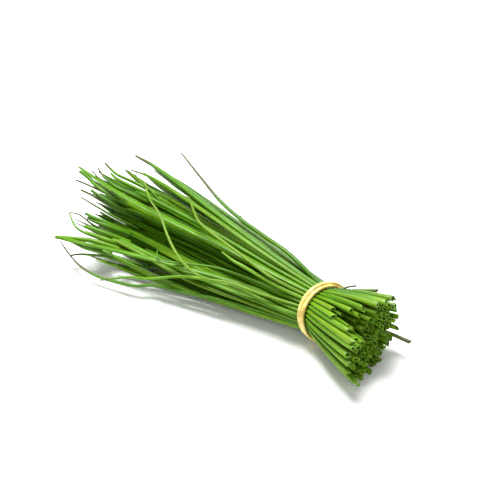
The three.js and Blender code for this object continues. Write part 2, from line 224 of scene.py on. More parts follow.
# the blades between the band and their tips
fan = {
    "reach": 200, "centre": (-12, 9.5),      # how far the fan runs, and the middle of its end, [y, z]
    "bend": 0.014, "powerY": 1.02, "powerZ": 2, "thicker": 0.7,    # how it opens with the run
    # the outline of the tips, [y, z], every 20 degrees round the band
    "outline": [(37.5, 12.5), (34, 22.5), (26, 31), (14, 36), (1, 37.5), (-11, 36), (-22, 30.5),
                (-22.5, 15.5), (-39, 15), (-53, 17.5), (-67, 10.5), (-59, 2), (-44, 0.2), (-28, 0.2),
                (-11, 0.2), (6, 0.2), (22, 0.6), (35, 4)],
    "gather": (205, 60, 0.28, 0.25, 0.5),    # angle, width, amount, start, and over how much of the reach
    "innerFit": {"y": 0.82, "z": 0.82, "lift": 2, "by": 0.3},    # inner blades stay within the outer ring
    # how far blades turn aside (inner, outer) and drift out or in (ring, raise)
    "wander": {"inner": 0.08, "outer": 0.015, "ring": 0.04, "calmer": 0.5, "raise": 0.02,
               "start": 0.08, "over": 0.5},
    "wave": (0.6, 0.8),                      # waves over the reach: fewest, and what the draw adds
    "sharedWave": (0.05, 0.8, 2),            # of the outer ring: size, waves over the reach, and round it
}


def fanOutline(angle):
    # closed Catmull-Rom curve through the outline's points p0..p3:
    # (2 p1 + (p2 - p0) t + (2 p0 - 5 p1 + 4 p2 - p3) t^2 + (3 p1 - p0 - 3 p2 + p3) t^3) / 2
    points = np.array(fan["outline"], float)
    count = len(points)
    along = (angle % (2 * np.pi)) / (2 * np.pi) * count
    index = np.floor(along).astype(int)
    t = (along - index)[..., None]
    p0, p1, p2, p3 = (points[(index + offset) % count] for offset in (-1, 0, 1, 2))
    return 0.5 * (2 * p1 + (p2 - p0) * t + (2 * p0 - 5 * p1 + 4 * p2 - p3) * t ** 2
                  + (3 * p1 - p0 - 3 * p2 + p3) * t ** 3)


def tipSide(blades, fromBand):
    # the disc of the band blends into the fan's outline, drawn towards its middle by the ring's share:
    # y = disc (1 - blend) + share outline blend, blend = o^powerY in y and 1 - (1 - o)^powerZ in z
    run = np.clip(fromBand / fan["reach"], 0, 1)
    opened = np.hypot(run, fan["bend"]) - fan["bend"]
    wander, fit = fan["wander"], fan["innerFit"]
    draws = blades["draws"][:, None, :]
    outer = blades["outer"][:, None]
    angle0 = blades["angle"][:, None]
    share = blades["share"][:, None]

    def wave(pace, start):
        fewest, more = fan["wave"]
        return np.sin(2 * np.pi * (run * (fewest + more * pace) + start))

    strayed = smoothstep((run - wander["start"]) / wander["over"])
    turn = wave(draws[..., 3], draws[..., 4])
    drift = wave(draws[..., 5], draws[..., 6])
    size, waves, rounds = fan["sharedWave"]
    shared = size * np.sin(2 * np.pi * waves * run + rounds * angle0)
    middle, width, most, start, over = fan["gather"]
    gather = most * smoothstep((run - start) / over) * bell(angle0, middle, width)
    aside = np.where(outer, wander["outer"] * turn + shared, wander["inner"] * turn)
    angle = angle0 - gather + strayed * aside
    limit = (bunch["rings"] - 1) / bunch["rings"]
    raised = share + strayed * wander["raise"] * draws[..., 5] * (1 + drift) / 2
    drifted = share + strayed * wander["ring"] * drift * (1 - wander["calmer"] * share)
    share = np.where(outer, raised, np.minimum(drifted, limit))

    # inner blades are drawn in, and lifted at the bottom
    drawn = np.where(outer, 0, smoothstep(run / fit["by"]))
    fitY = 1 - (1 - fit["y"]) * drawn
    fitZ = 1 - (1 - fit["z"]) * drawn
    lift = fit["lift"] * drawn * share * ((1 - np.sin(angle)) / 2) ** 2
    blendY = opened ** fan["powerY"]
    blendZ = 1 - (1 - opened) ** fan["powerZ"]
    outline = fanOutline(angle)
    centreY, centreZ = fan["centre"]
    disc = bunch["discRadius"] * share
    outY = disc * np.cos(angle) * (1 - blendY) + share * (outline[..., 0] - centreY) * blendY
    outZ = disc * np.sin(angle) * (1 - blendZ) + share * (outline[..., 1] - centreZ) * blendZ
    x = -fromBand - bandLean(blades)[:, None]
    y = centreY * blendY + outY * fitY
    z = bunch["bandHeight"] + (centreZ - bunch["bandHeight"]) * blendZ + outZ * fitZ + lift
    return np.stack([x, y, z], 2), bunch["squeezedRadius"] * (1 + fan["thicker"] * opened)


# blades of the outer ring that leave it just past the band, by slot: radius, and [x, y, z] of the curve
looseRule = {"leaveAt": 5, "taper": (0.6, 0.55, 1.5), "swell": 1.3}
looseBlades = {
    7: (1.3, [(-35, 8, 37.5), (-60, 10.5, 38), (-79, 12, 39), (-98.5, 14.5, 41.5), (-120.5, 19, 47),
              (-142, 23.5, 53)]),
    8: (1.7, [(-40.5, 2.5, 35.5), (-72.5, 5, 37), (-106.5, 9, 38), (-138.5, 14, 38), (-164, 17.5, 37),
              (-180.5, 18.5, 36)]),
    9: (1.5, [(-47, -1.5, 37), (-75.5, 0.5, 38), (-105.5, 4, 37.5), (-133.5, 6.5, 37), (-158.5, 9, 35),
              (-174, 8, 33)]),
    11: (1.9, [(-33.5, -6.5, 32), (-62, -8.5, 33), (-90.5, -11, 33), (-118.5, -14, 33.5), (-148, -16, 34),
               (-174, -16.5, 35), (-198.5, -15, 35)]),
    12: (0.95, [(-32.5, -12, 34), (-56.5, -11.5, 37), (-78, -11, 39.5), (-92, -10, 41.5),
                (-104, -3.5, 42), (-116, 4.5, 41)]),
    13: (1.15, [(-24.5, -11.5, 30), (-37.5, -13, 31), (-50, -14.5, 32.5), (-59, -15.5, 33.5),
                (-67.5, -15.5, 35)]),
    14: (0.75, [(-28, -12, 26), (-46.5, -13.5, 25), (-70, -19, 24), (-84, -30, 25.5), (-94.5, -38, 26.5),
                (-101, -37, 26.5), (-104.5, -33, 27)]),
    15: (0.85, [(-31.5, -19.5, 25.5), (-51.5, -25, 26), (-64.5, -32, 26), (-76, -33.5, 27), (-90, -31, 30),
                (-103, -26, 34), (-117.5, -18.5, 38.5), (-130.5, -14.5, 41.5), (-148, -3, 41)]),
    16: (1.7, [(-18, -14.3, 22.9), (-35.5, -15, 22.5), (-54.5, -18, 21), (-74.5, -27, 22.5),
               (-96, -35.5, 23), (-118, -43.5, 22), (-139, -50, 20), (-156, -55.5, 18), (-171, -59.5, 16)]),
    17: (1.2, [(-15, -16.3, 20.8), (-32, -19, 21), (-52, -24.5, 23), (-68.5, -29, 21.5),
               (-83.5, -35, 19), (-97.5, -46.5, 16), (-111, -52.5, 13), (-126, -62, 8)]),
    20: (1.05, [(-24, -17.6, 13.4), (-60, -29.5, 12), (-80, -37.5, 10.5), (-97.5, -43, 9),
                (-107.5, -50, 7), (-120.5, -55, 6), (-132.5, -59, 6), (-146.5, -60.5, 7),
                (-159.5, -59, 9.5), (-170, -56.5, 12)]),
}


def centripetal(points, share):
    # centripetal Catmull-Rom curve through the points, share 0..1 from the first to the last
    points = np.array(points, float)
    points = np.vstack([2 * points[0] - points[1], points, 2 * points[-1] - points[-2]])
    along = share * (len(points) - 3)
    index = np.minimum(np.floor(along).astype(int), len(points) - 4)
    t = (along - index)[:, None]
    spacing = np.sqrt(np.linalg.norm(np.diff(points, axis=0), axis=1))[:, None]
    p0, p1, p2, p3 = (points[index + offset] for offset in range(4))
    d0, d1, d2 = (spacing[index + offset] for offset in range(3))
    m1 = ((p1 - p0) / d0 - (p2 - p0) / (d0 + d1) + (p2 - p1) / d1) * d1
    m2 = ((p2 - p1) / d1 - (p3 - p1) / (d1 + d2) + (p3 - p2) / d2) * d1
    return p1 + m1 * t + (3 * (p2 - p1) - 2 * m1 - m2) * t ** 2 + (2 * (p1 - p2) + m1 + m2) * t ** 3


def followBlades(blades, cutShares, tipShares):
    # middles and radii of the blades' sections, from the cut end to the tip: cutSide, tipSide or a loose
    # blade's own curve, with the free radius (least + spread draw) taper, at most what the squeeze allows
    cut, tip = reaches(blades)
    lean = bandLean(blades)
    least, spread = bunch["radius"]
    free = (least + spread * blades["draws"][:, 2])[:, None]
    atCut, cutLimit = cutSide(blades, cutShares * (cut + lean)[:, None])
    atTip, tipLimit = tipSide(blades, tipShares * (tip - lean)[:, None])
    tipRadius = np.minimum(free * taper(tipShares, *bunch["taper"]), tipLimit)
    for i in np.flatnonzero(blades["outer"]):
        slot = int(blades["slot"][i])
        if slot in looseBlades:
            radius, route = looseBlades[slot]
            one = pick(blades, np.arange(len(cut)) == i)
            start = tipSide(one, np.array([[0.0, looseRule["leaveAt"]]]))[0][0]
            atTip[i] = centripetal(list(start) + route, tipShares)
            tipRadius[i] = np.minimum(radius * taper(tipShares, *looseRule["taper"]),
                                      bunch["squeezedRadius"] + looseRule["swell"] * tipShares)
    cutFree = free.copy()
    for (ring, slot), (_, _, radius) in cutEnds["strays"].items():
        cutFree[isBlade(blades, ring, slot)] = radius
    middles = np.concatenate([atCut, atTip], 1)
    radii = np.concatenate([np.minimum(cutFree, cutLimit), tipRadius], 1)
    middles[..., 2] = np.maximum(middles[..., 2], bunch["pressed"] * radii)
    return middles, radii


def newMesh(name, points, quads, triangles):
    # one smooth mesh and its object from arrays of points and of the faces' corners
    mesh = bpy.data.meshes.new(name)
    loops = np.concatenate([quads.ravel(), triangles.ravel()])
    sizes = np.concatenate([np.full(len(quads), 4), np.full(len(triangles), 3)])
    starts = np.concatenate([[0], np.cumsum(sizes)[:-1]])
    mesh.vertices.add(len(points))
    mesh.vertices.foreach_set("co", points.astype(np.float32).ravel())
    mesh.loops.add(len(loops))
    mesh.loops.foreach_set("vertex_index", loops.astype(np.int32))
    mesh.polygons.add(len(sizes))
    mesh.polygons.foreach_set("loop_start", starts.astype(np.int32))
    mesh.polygons.foreach_set("use_smooth", np.ones(len(sizes), bool))
    mesh.update(calc_edges=True)
    piece = bpy.data.objects.new(name, mesh)
    bpy.context.scene.collection.objects.link(piece)
    return piece


def setPointValues(piece, name, values):
    # one number for each point, which the leaf material reads by its name
    attribute = piece.data.attributes.new(name, "FLOAT", "POINT")
    attribute.data.foreach_set("value", values.astype(np.float32).ravel())


def sectionAxes(middles, straight):
    # unit vectors of each section: back along the path, side level, top square to both;
    # the first sections, as many as straight says, all look along the path just after them
    tangent = np.gradient(middles, axis=1)
    tangent[:, :straight] = (middles[:, straight] - middles[:, straight - 2])[:, None]
    back = -tangent / np.linalg.norm(tangent, axis=2, keepdims=True)
    side = np.cross(back, [0, 0, 1.0])
    side /= np.linalg.norm(side, axis=2, keepdims=True)
    return back, side, np.cross(side, back)


def skinMesh(name, skin, poles, values):
    # closed skins: quads between a skin's rings, and a fan of triangles to the pole at each end
    count, rings, sides = skin.shape[:3]
    perSkin = rings * sides + 2
    everything = np.concatenate([skin.reshape(count, -1, 3), poles], 1).reshape(-1, 3)
    ring, spoke = np.meshgrid(np.arange(rings - 1), np.arange(sides), indexing="ij")
    following = (spoke + 1) % sides
    quads = np.stack([ring * sides + spoke, ring * sides + following,
                      (ring + 1) * sides + following, (ring + 1) * sides + spoke], 2).reshape(-1, 4)
    first = np.arange(sides)
    second = (first + 1) % sides
    last = (rings - 1) * sides
    startFan = np.stack([np.full(sides, rings * sides), second, first], 1)
    endFan = np.stack([np.full(sides, rings * sides + 1), last + first, last + second], 1)
    offsets = (np.arange(count) * perSkin)[:, None, None]
    piece = newMesh(name, place(everything), (quads[None] + offsets).reshape(-1, 4),
                    (np.concatenate([startFan, endFan])[None] + offsets).reshape(-1, 3))

    # what the leaf material reads, ring by ring; round the skin it reads the cosine and sine
    for key, ringValues in values.items():
        body = np.repeat(ringValues[:, :, None], sides, 2).reshape(count, -1)
        setPointValues(piece, key, np.concatenate([body, ringValues[:, [0, -1]]], 1))
    around = first * 2 * np.pi / sides
    for key, turned in (("roundX", np.cos(around)), ("roundY", np.sin(around))):
        body = np.tile(np.tile(turned, rings), (count, 1))
        setPointValues(piece, key, np.concatenate([body, np.zeros((count, 2))], 1))
    return piece


def metresAlong(middles):
    # length of the path up to each section
    steps = np.linalg.norm(np.diff(middles, axis=1), axis=2)
    return np.concatenate([np.zeros((len(middles), 1)), np.cumsum(steps, 1)], 1) * millimetre


blade = {
    "outerSides": 16, "innerSides": 12,      # corners of a section
    "outerSteps": 64, "innerSteps": 40,      # sections along a blade
    "stalkPart": 4,              # one section in so many lies in the stalk
    "stalkPower": 1.4,           # these lie closer together towards the band
    "nearBand": 0.02,            # share of the length at which the two sides meet
    # from the bottom of the hollow over the rim: how deep in, in mm, and how wide, in radii
    "rim": [(4.0, 0.02), (4.0, 0.45), (0.5, 0.5), (0.08, 0.56), (0.0, 0.95), (0.12, 1.0)],
    "levelSections": 2, "hollowSections": 3,                 # how many of these stay level, and how many take the painted shade of the hollow
    "cutTilt": 0.7,              # slant of a cut face, in radii
    "ovalTip": 0.34, "ovalCut": 0.34, "ovalOver": 0.3,       # how much wider than thick, and from where
    "roll": 1.5, "ownRoll": 0.3,                             # how far the oval turns along a blade
    "dryFrom": 0.93, "drySpread": 0.08, "dryOver": 0.05,     # share of the length where a tip turns dry
    "shrivel": 0.3,              # how much thinner a dry tip gets
    "dryStalkOver": 0.25,        # share of the stalk over which a dry one fades
    "bentTip": 2.4, "bentFrom": 0.86, "bentFlat": 0.6,       # how far a tip bends aside, from where, and up
    "tipLength": 0.8,            # of the last point, in radii
    "clearance": 0.02,           # of the end points above the table
    "paintedGapShade": (150, 45, 0.3),    # painted shade: inner blades darker where the bunch gapes and its gap lies in shade: angle, width, amount
}

# outer blades that look unlike their draws, by slot: tone, oval, where they turn dry, how much they shrivel
ownLooks = {
    1: (0.35, 0.2, 0.86, 0.4), 2: (0.35, 0.2, 0.84, 0.45), 3: (0.3, 0.2, 0.8, 0.5),
    7: (0.25, 0.1, 0.72, 0.1), 8: (0.4, 0.2, 0.84, -0.15), 9: (0.5, 0.2, 0.88, 0.2),
    11: (0.52, 0.5, 0.985, -0.5), 12: (0.75, 0.1, 1, 0), 13: (0.7, 0.1, 1, 0),
    14: (0.45, 0.1, 1, 0), 15: (0.78, 0.1, 1, 0), 16: (0.5, 0.3, 0.985, -0.2),
    17: (0.62, 0.15, 0.94, 0.3), 18: (0.5, 0.2, 0.88, 0.5), 19: (0.6, 0.2, 0.9, 0.5),
    20: (0.36, 0.15, 0.74, 0.2),
}

# stalks of the outer ring that are dry at their cut end, by slot: from which share of the stalk
dryStalks = {3: 0.55, 4: 0.75, 33: 0.65}


def bladeMesh(name, blades, sides, steps):
    # Each blade is one closed skin: bottom of the hollow, hollow, rim, outside, tip.
    # A point is middle + r (w cos(a) side + t sin(a) top), w and t the oval's width and thickness.
    draws, outer = blades["draws"], blades["outer"]
    rimDepths, rimWidths = np.array(blade["rim"]).T
    rim = len(rimDepths)
    stalkSteps = steps // blade["stalkPart"]
    outside = np.linspace(1, 0, stalkSteps + 1)[1:-1] ** blade["stalkPower"]
    cutShares = np.concatenate([np.ones(rim), outside, [blade["nearBand"]]])
    tipShares = np.linspace(blade["nearBand"], 1, steps - stalkSteps)
    middles, radii = followBlades(blades, cutShares, tipShares)
    along = np.concatenate([-cutShares, tipShares])

    # tone and dryness by the draws, or a blade's own; the tone of inner blades also carries painted shade
    # where the bunch gapes
    # painted shade: inner blades' tone lowered in the gap of the bunch, where shade falls
    middle, width, amount = blade["paintedGapShade"]
    tone = draws[:, 7] - amount * bell(blades["angle"], middle, width) * ~outer
    ovalTip = blade["ovalTip"] * draws[:, 5]
    dryFrom = blade["dryFrom"] + blade["drySpread"] * draws[:, 3]
    shrivel = np.full(len(tone), blade["shrivel"])
    bent = blade["bentTip"] * draws[:, 2]
    for slot, (ownTone, ownOval, ownDry, ownShrivel) in ownLooks.items():
        own = isBlade(blades, bunch["rings"], slot)
        tone[own] = ownTone
        ovalTip[own] = ownOval
        dryFrom[own] = ownDry
        shrivel[own] = ownShrivel
        bent[own] = 0
    stalkFrom = np.full(len(tone), np.inf)
    for slot, start in dryStalks.items():
        stalkFrom[isBlade(blades, bunch["rings"], slot)] = start
    dryTip = smoothstep((along - dryFrom[:, None]) / blade["dryOver"])
    dryStalk = smoothstep((-along - stalkFrom[:, None]) / blade["dryStalkOver"])
    radii = radii * (1 - shrivel[:, None] * dryTip)

    # a tip bends aside by the square of how far it is past the start of the bend
    past = np.clip((along - blade["bentFrom"]) / (1 - blade["bentFrom"]), 0, 1) ** 2
    turn = 2 * np.pi * draws[:, 1]
    aside = np.stack([np.zeros_like(turn), np.cos(turn), blade["bentFlat"] * np.sin(turn)], 1)
    middles = middles + (bent[:, None] * past)[..., None] * aside[:, None]
    middles[..., 2] = np.maximum(middles[..., 2], bunch["pressed"] * radii)
    back, side, top = sectionAxes(middles, rim + 1)

    # the first sections draw the hollow and the rim
    middles[:, :rim] -= back[:, :rim] * rimDepths[:, None]
    radii[:, :rim] *= rimWidths

    widest = np.where(along < 0, blade["ovalCut"] * draws[:, 6:7], ovalTip[:, None])
    oval = widest * smoothstep(np.abs(along) / blade["ovalOver"])
    own = outer & np.isin(blades["slot"], list(ownLooks))
    rolled = np.pi * draws[:, 6:7] + blade["roll"] * along
    roll = np.where(own[:, None], blade["ownRoll"] * along, rolled)[..., None]
    around = np.arange(sides) * 2 * np.pi / sides
    wide = (radii * (1 + oval))[..., None] * np.cos(around)
    thick = (radii * (1 - oval))[..., None] * np.sin(around)
    across = wide * np.cos(roll) - thick * np.sin(roll)
    over = wide * np.sin(roll) + thick * np.cos(roll)
    skin = middles[:, :, None] + across[..., None] * side[:, :, None] + over[..., None] * top[:, :, None]

    # the rim slants by its draw, and nothing goes below the table
    face = slice(blade["levelSections"], rim)
    slant = np.cos(around - 2 * np.pi * draws[:, 4:5, None]) * radii[:, rim + 1, None, None]
    skin[:, face] -= (blade["cutTilt"] * draws[:, 3:4, None] * slant)[..., None] * back[:, face, None]
    skin[..., 2] = np.maximum(skin[..., 2], 0)
    tipPole = middles[:, -1] - back[:, -1] * radii[:, -1:] * blade["tipLength"]
    poles = np.stack([middles[:, 0], tipPole], 1)
    poles[..., 2] = np.maximum(poles[..., 2], blade["clearance"])

    same = np.ones(len(along))
    # painted shade: the first sections, at the bottom of the hollow, take the dark bore colour
    inShadedBore = np.zeros((len(tone), len(along)))
    inShadedBore[:, :blade["hollowSections"]] = 1
    values = {"along": metresAlong(middles), "tone": tone[:, None] * same, "hue": draws[:, 4:5] * same,
              "dry": np.maximum(dryTip, dryStalk), "inShadedBore": inShadedBore}
    return skinMesh(name, skin, poles, values)


# dry tips, short side tips and threads too thin for a blade, each rooted inside the bunch:
# radii at root and tip, tone, share of the length where it turns dry, [x, y, z] from the tip inwards
fineStrands = [
    (1, 0.6, 0.35, 0.35, [(-191.5, -24.5, 33), (-180, -21.5, 32), (-169.5, -18.5, 30),
                          (-156.5, -13.5, 26), (-142.5, -5, 20)]),
    (1.1, 0.7, 0.2, 0.3, [(-185, -26, 29), (-176.5, -25, 29), (-169, -23, 27.5), (-156, -18, 23),
                          (-141.5, -10.5, 17)]),
    (0.9, 0.5, 0.3, 0.35, [(-182, -28.5, 26), (-174.5, -28.5, 26), (-167.5, -28, 25.5),
                           (-155, -23.5, 21), (-140.5, -16, 15)]),
    (1.4, 0.75, 0.6, 0.6, [(-188, -2, 37), (-180.5, -4, 37), (-172.5, -5, 36.5), (-163, -2.5, 35),
                           (-150, 2.5, 31), (-134, 9, 24)]),
    (0.9, 0.55, 0.2, 0.5, [(-187, -9, 37), (-181.5, -11, 37), (-176.5, -13, 36.5), (-170, -13, 35.5),
                           (-161.5, -8, 31), (-148, 0.5, 24)]),
    (0.8, 0.45, 0.4, 0.4, [(-188, -13.5, 36), (-184.5, -14, 36), (-179.5, -15, 35.5), (-174, -13.5, 34),
                           (-165, -9.5, 30), (-154, -2.5, 24)]),
    (0.7, 0.45, 0.3, 0.3, [(-176, -43, 24), (-173, -41, 24), (-169, -40, 24), (-164, -40, 23.5),
                           (-158.5, -39.5, 22), (-148.5, -33.5, 17), (-138.5, -26, 12)]),
    (1.2, 0.5, 0.55, 0.75, [(-176, -43, 24), (-172, -45, 23.5), (-167, -47.5, 23), (-161.5, -49, 22.5),
                            (-155, -48.5, 22), (-149.5, -45, 20), (-142, -38, 15), (-133.5, -30.5, 10)]),
    (1.5, 0.9, 0.4, 0.8, [(-165, -39, 27), (-159, -38.5, 27), (-153.5, -36.5, 26), (-144, -29, 20),
                          (-136.5, -15.5, 8)]),
    (1.3, 0.85, 0.3, 0.6, [(-167, -58.5, 16.5), (-161, -56, 16.5), (-154.5, -55, 16.5),
                           (-148, -54.5, 17), (-141.5, -52, 17), (-133.5, -47, 15), (-123.5, -39.5, 11),
                           (-112, -33.5, 9)]),
    (0.7, 1.35, 0.55, 0.93, [(-170.5, -59.5, 16.5), (-166.5, -58, 17), (-161.5, -56.5, 17.5),
                             (-153.5, -54, 18), (-144, -49.5, 17), (-136, -43, 13)]),
    (1, 0.55, 0.3, 0.6, [(-157, -60, 9), (-154.5, -57.5, 10), (-150.5, -55, 11), (-143.5, -53, 13),
                         (-135.5, -49, 14), (-127.5, -44, 12), (-117.5, -37, 8)]),
    (0.25, 0.18, 0.7, 1, [(-137, -55.5, 14), (-128, -52, 13), (-116, -46.5, 11), (-105, -40, 8)]),
    (0.5, 0.4, 0.5, 0.7, [(-168.5, 7.5, 34), (-165.5, 5, 34), (-161, 3, 34), (-155, 1.5, 34),
                          (-148, 1, 33), (-138.5, 0.5, 30), (-129, 4.5, 25)]),
    (0.35, 0.25, 0.3, 0.4, [(-88.5, 21, 40), (-84.5, 17.5, 40), (-81.5, 14.5, 39.5), (-77.5, 12.5, 39),
                            (-73, 12, 37.5), (-63, 14.5, 33)]),
    (0.7, 0.55, 0.3, 0.35, [(10, 15, 35), (7, 11.5, 34.5), (4.5, 8, 33.5), (0.5, 5.5, 31),
                            (-4.5, 4.5, 27)]),
    (1.9, 1.1, 0.42, 1, [(-196, -17, 34), (-186, -18, 34), (-177, -18, 32), (-166.5, -15.5, 28),
                         (-156, -9.5, 22)]),
    (1.8, 1, 0.38, 1, [(-182.5, -19, 33), (-173.5, -19.5, 32.5), (-162.5, -18, 30), (-151, -11.5, 24),
                       (-142, -5.5, 18)]),
    (1.7, 0.9, 0.2, 1, [(-178.5, -22.5, 30), (-169.5, -22.5, 29.5), (-159.5, -19, 26),
                        (-148.5, -12.5, 20)]),
    (1.7, 0.8, 0.5, 1, [(-176.5, -7, 36.5), (-169, -8.5, 36.5), (-159.5, -6.5, 35), (-148, -1.5, 31),
                        (-136.5, 5.5, 24)]),
    (1.7, 0.8, 0.3, 1, [(-172, -13.5, 35), (-163.5, -13.5, 35), (-154.5, -9.5, 32), (-145, -2.5, 26),
                        (-136, 4.5, 20)]),
    (1.9, 1.1, 0.7, 1, [(-169.5, -59, 17), (-162.5, -55, 17.5), (-156, -51.5, 18), (-150.5, -48, 18),
                        (-144, -45, 17.5), (-136.5, -40, 15), (-128, -33, 11)]),
    (1.7, 1, 0.3, 1, [(-162.5, -39.5, 25), (-155.5, -38.5, 25), (-147, -34.5, 23), (-138, -26, 17)]),
    (1.7, 1, 0.5, 1, [(-160, -45, 22.5), (-153, -42.5, 22.5), (-144, -37.5, 20), (-135, -29, 14)]),
    (1.9, 1.2, 0.6, 1, [(-157, -46.5, 20), (-150, -44.5, 20), (-141, -40, 18), (-133, -31, 12)]),
]

strand = {
    "sides": 8, "steps": 32,
    "tipWidth": 0.5,             # of the last section
    "rootLength": 0.5, "tipLength": 0.4,     # of the end points, in radii
    "dryOver": 0.3,              # share of the length over which a strand turns dry
    "fromCut": 0.1,              # in metres, past the pale cut ends of the leaf material
}


def strandMesh(name):
    # round strands on curves through their points, from the radius at the root to that at the tip
    share = np.linspace(0, 1, strand["steps"])
    middles = np.stack([centripetal(route[::-1], share) for *_, route in fineStrands])
    root, tip, tone, dryFrom = (np.array([row[i] for row in fineStrands], float)[:, None] for i in range(4))
    radii = root + (tip - root) * share
    radii[:, -1] *= strand["tipWidth"]
    back, side, top = sectionAxes(middles, 0)
    around = np.arange(strand["sides"]) * 2 * np.pi / strand["sides"]
    spokes = np.cos(around)[:, None] * side[:, :, None] + np.sin(around)[:, None] * top[:, :, None]
    skin = middles[:, :, None] + radii[..., None, None] * spokes
    poles = np.stack([middles[:, 0] + back[:, 0] * root * strand["rootLength"],
                      middles[:, -1] - back[:, -1] * tip * strand["tipLength"]], 1)
    same = np.ones(len(share))
    values = {"along": metresAlong(middles) + strand["fromCut"], "tone": tone * same, "hue": tone * same,
              "dry": smoothstep((share - dryFrom) / strand["dryOver"]), "inShadedBore": 0 * tone * same}
    return skinMesh(name, skin, poles, values)


def nodeTools(material):
    # add(kind, inputs, settings) makes a node; inputs are values or sockets to link, by name or number
    material.use_nodes = True
    tree = material.node_tree

    def add(kind, inputs=None, **settings):
        node = tree.nodes.new(kind)
        for name, value in settings.items():
            setattr(node, name, value)
        for name, value in (inputs or {}).items():
            if isinstance(value, bpy.types.NodeSocket):
                tree.links.new(value, node.inputs[name])
            else:
                node.inputs[name].default_value = value
        return node

    return tree, add


def addRamp(add, amount, stops):
    # colour ramp: stops are (position, colour)
    ramp = add("ShaderNodeValToRGB", {"Fac": amount})
    while len(ramp.color_ramp.elements) < len(stops):
        ramp.color_ramp.elements.new(0.5)
    for element, (position, colour) in zip(ramp.color_ramp.elements, stops):
        element.position = position
        element.color = colour
    return ramp.outputs["Color"]


def addMix(add, amount, first, second):
    # first where the amount is 0, second where it is 1
    return add("ShaderNodeMix", {0: amount, 6: first, 7: second}, data_type="RGBA").outputs[2]


def addMath(add, operation, *values):
    # the operation on two or three values or sockets
    return add("ShaderNodeMath", dict(enumerate(values)), operation=operation).outputs[0]


def addRange(add, value, low, high, most):
    # 0 up to low, rising smoothly to most at high
    inputs = {"Value": value, "From Min": low, "From Max": high, "To Max": most}
    return add("ShaderNodeMapRange", inputs, interpolation_type="SMOOTHSTEP").outputs[0]


def addNoise(add, space, scale, detail):
    # a cloudy pattern about 0.5
    return add("ShaderNodeTexNoise", {"Vector": space, "Scale": scale, "Detail": detail}).outputs["Fac"]


leafLook = {
    "tones": [(0.0, (0.022, 0.086, 0.001, 1)), (0.4, (0.060, 0.184, 0.002, 1)),
              (0.8, (0.135, 0.295, 0.004, 1)), (1.0, (0.240, 0.400, 0.020, 1))],
    "unevenTone": 0.35,          # how much the tone varies along one blade
    # noise along the blade: scale and detail
    "drift": (0.7, 1.0), "streaks": (2.6, 4.0), "veins": (4.5, 3.0), "ribs": (9.0, 2.0),
    "stretch": 14.0,             # how far a metre of blade reaches through the noise
    "spread": 57.0,              # how far apart the noise of light and dark blades lies
    # layers over the tone: shows from, is whole at, amount and colour
    "olive": (0.72, 1.0, 0.5, (0.110, 0.160, 0.006, 1)),
    "streakLayer": (0.5, 0.78, 0.6, (0.290, 0.500, 0.040, 1)),
    "veinLayer": (0.5, 0.75, 0.5, (0.012, 0.055, 0.001, 1)),
    "ribLayer": (0.42, 0.62, 0.4, (0.012, 0.055, 0.001, 1)),
    "cutEnd": (0.0, 0.035, 0.3, (0.225, 0.385, 0.022, 1)),    # its length in metres
    "dry": (0.074, 0.084, 0.026, 1),
    # painted shade: the hollow of a cut blade, dark for the shade inside the tube
    "paintedBoreShade": (0.030, 0.105, 0.003, 1),
    "roughness": 0.34, "specular": 0.2,
    "subsurface": 0.08, "subsurfaceRadius": (0.4, 0.8, 0.1), "subsurfaceScale": 0.0012,
    "bump": {"Strength": 0.25, "Distance": 0.0003},
    "paintedInsideShade": 0.14, "insideSpecular": 0.06,              # inner blades: painted shade, darker for the shade inside the bunch, and duller
}


def leafMaterial(name, paintedShade, specular):
    # a ramp of tones, with streaks, veins and ribs along the blade, a pale cut end, dry tip, painted shade in
    # the hollow, and painted shade over the whole colour for inner blades
    material = bpy.data.materials.new(name)
    tree, add = nodeTools(material)
    look = leafLook
    surface = tree.nodes["Principled BSDF"]
    value = {key: add("ShaderNodeAttribute", attribute_name=key).outputs["Fac"]
             for key in ("along", "tone", "hue", "dry", "inShadedBore", "roundX", "roundY")}

    # the noise's space goes round the blade in x and y and along it in z
    lengthwise = addMath(add, "MULTIPLY", value["along"], look["stretch"])
    offset = addMath(add, "MULTIPLY_ADD", value["tone"], look["spread"], lengthwise)
    space = add("ShaderNodeCombineXYZ", {"X": value["roundX"], "Y": value["roundY"], "Z": offset}).outputs[0]
    noise = {key: addNoise(add, space, *look[key]) for key in ("drift", "streaks", "veins", "ribs")}

    uneven = addMath(add, "MULTIPLY", addMath(add, "SUBTRACT", noise["drift"], 0.5), look["unevenTone"])
    colour = addRamp(add, addMath(add, "ADD", value["tone"], uneven), look["tones"])
    fromCut = addMath(add, "SUBTRACT", look["cutEnd"][1], value["along"])
    layers = {"olive": value["hue"], "streakLayer": noise["streaks"], "veinLayer": noise["veins"],
              "ribLayer": noise["ribs"], "cutEnd": fromCut}
    for key, pattern in layers.items():
        low, high, most, over = look[key]
        colour = addMix(add, addRange(add, pattern, low, high, most), colour, over)
    colour = addMix(add, value["dry"], colour, look["dry"])
    # painted shade in the hollow of the cut end
    colour = addMix(add, value["inShadedBore"], colour, look["paintedBoreShade"])
    # painted shade: the colour darkened towards black by this amount, for blades that lie in the bunch's
    # shade
    colour = addMix(add, paintedShade, colour, (0, 0, 0, 1))
    tree.links.new(colour, surface.inputs["Base Color"])
    surface.inputs["Roughness"].default_value = look["roughness"]
    surface.inputs["Specular IOR Level"].default_value = specular
    surface.inputs["Subsurface Weight"].default_value = look["subsurface"]
    surface.inputs["Subsurface Radius"].default_value = look["subsurfaceRadius"]
    surface.inputs["Subsurface Scale"].default_value = look["subsurfaceScale"]
    bump = add("ShaderNodeBump", {"Height": noise["ribs"], **look["bump"]})
    tree.links.new(bump.outputs[0], surface.inputs["Normal"])
    return material


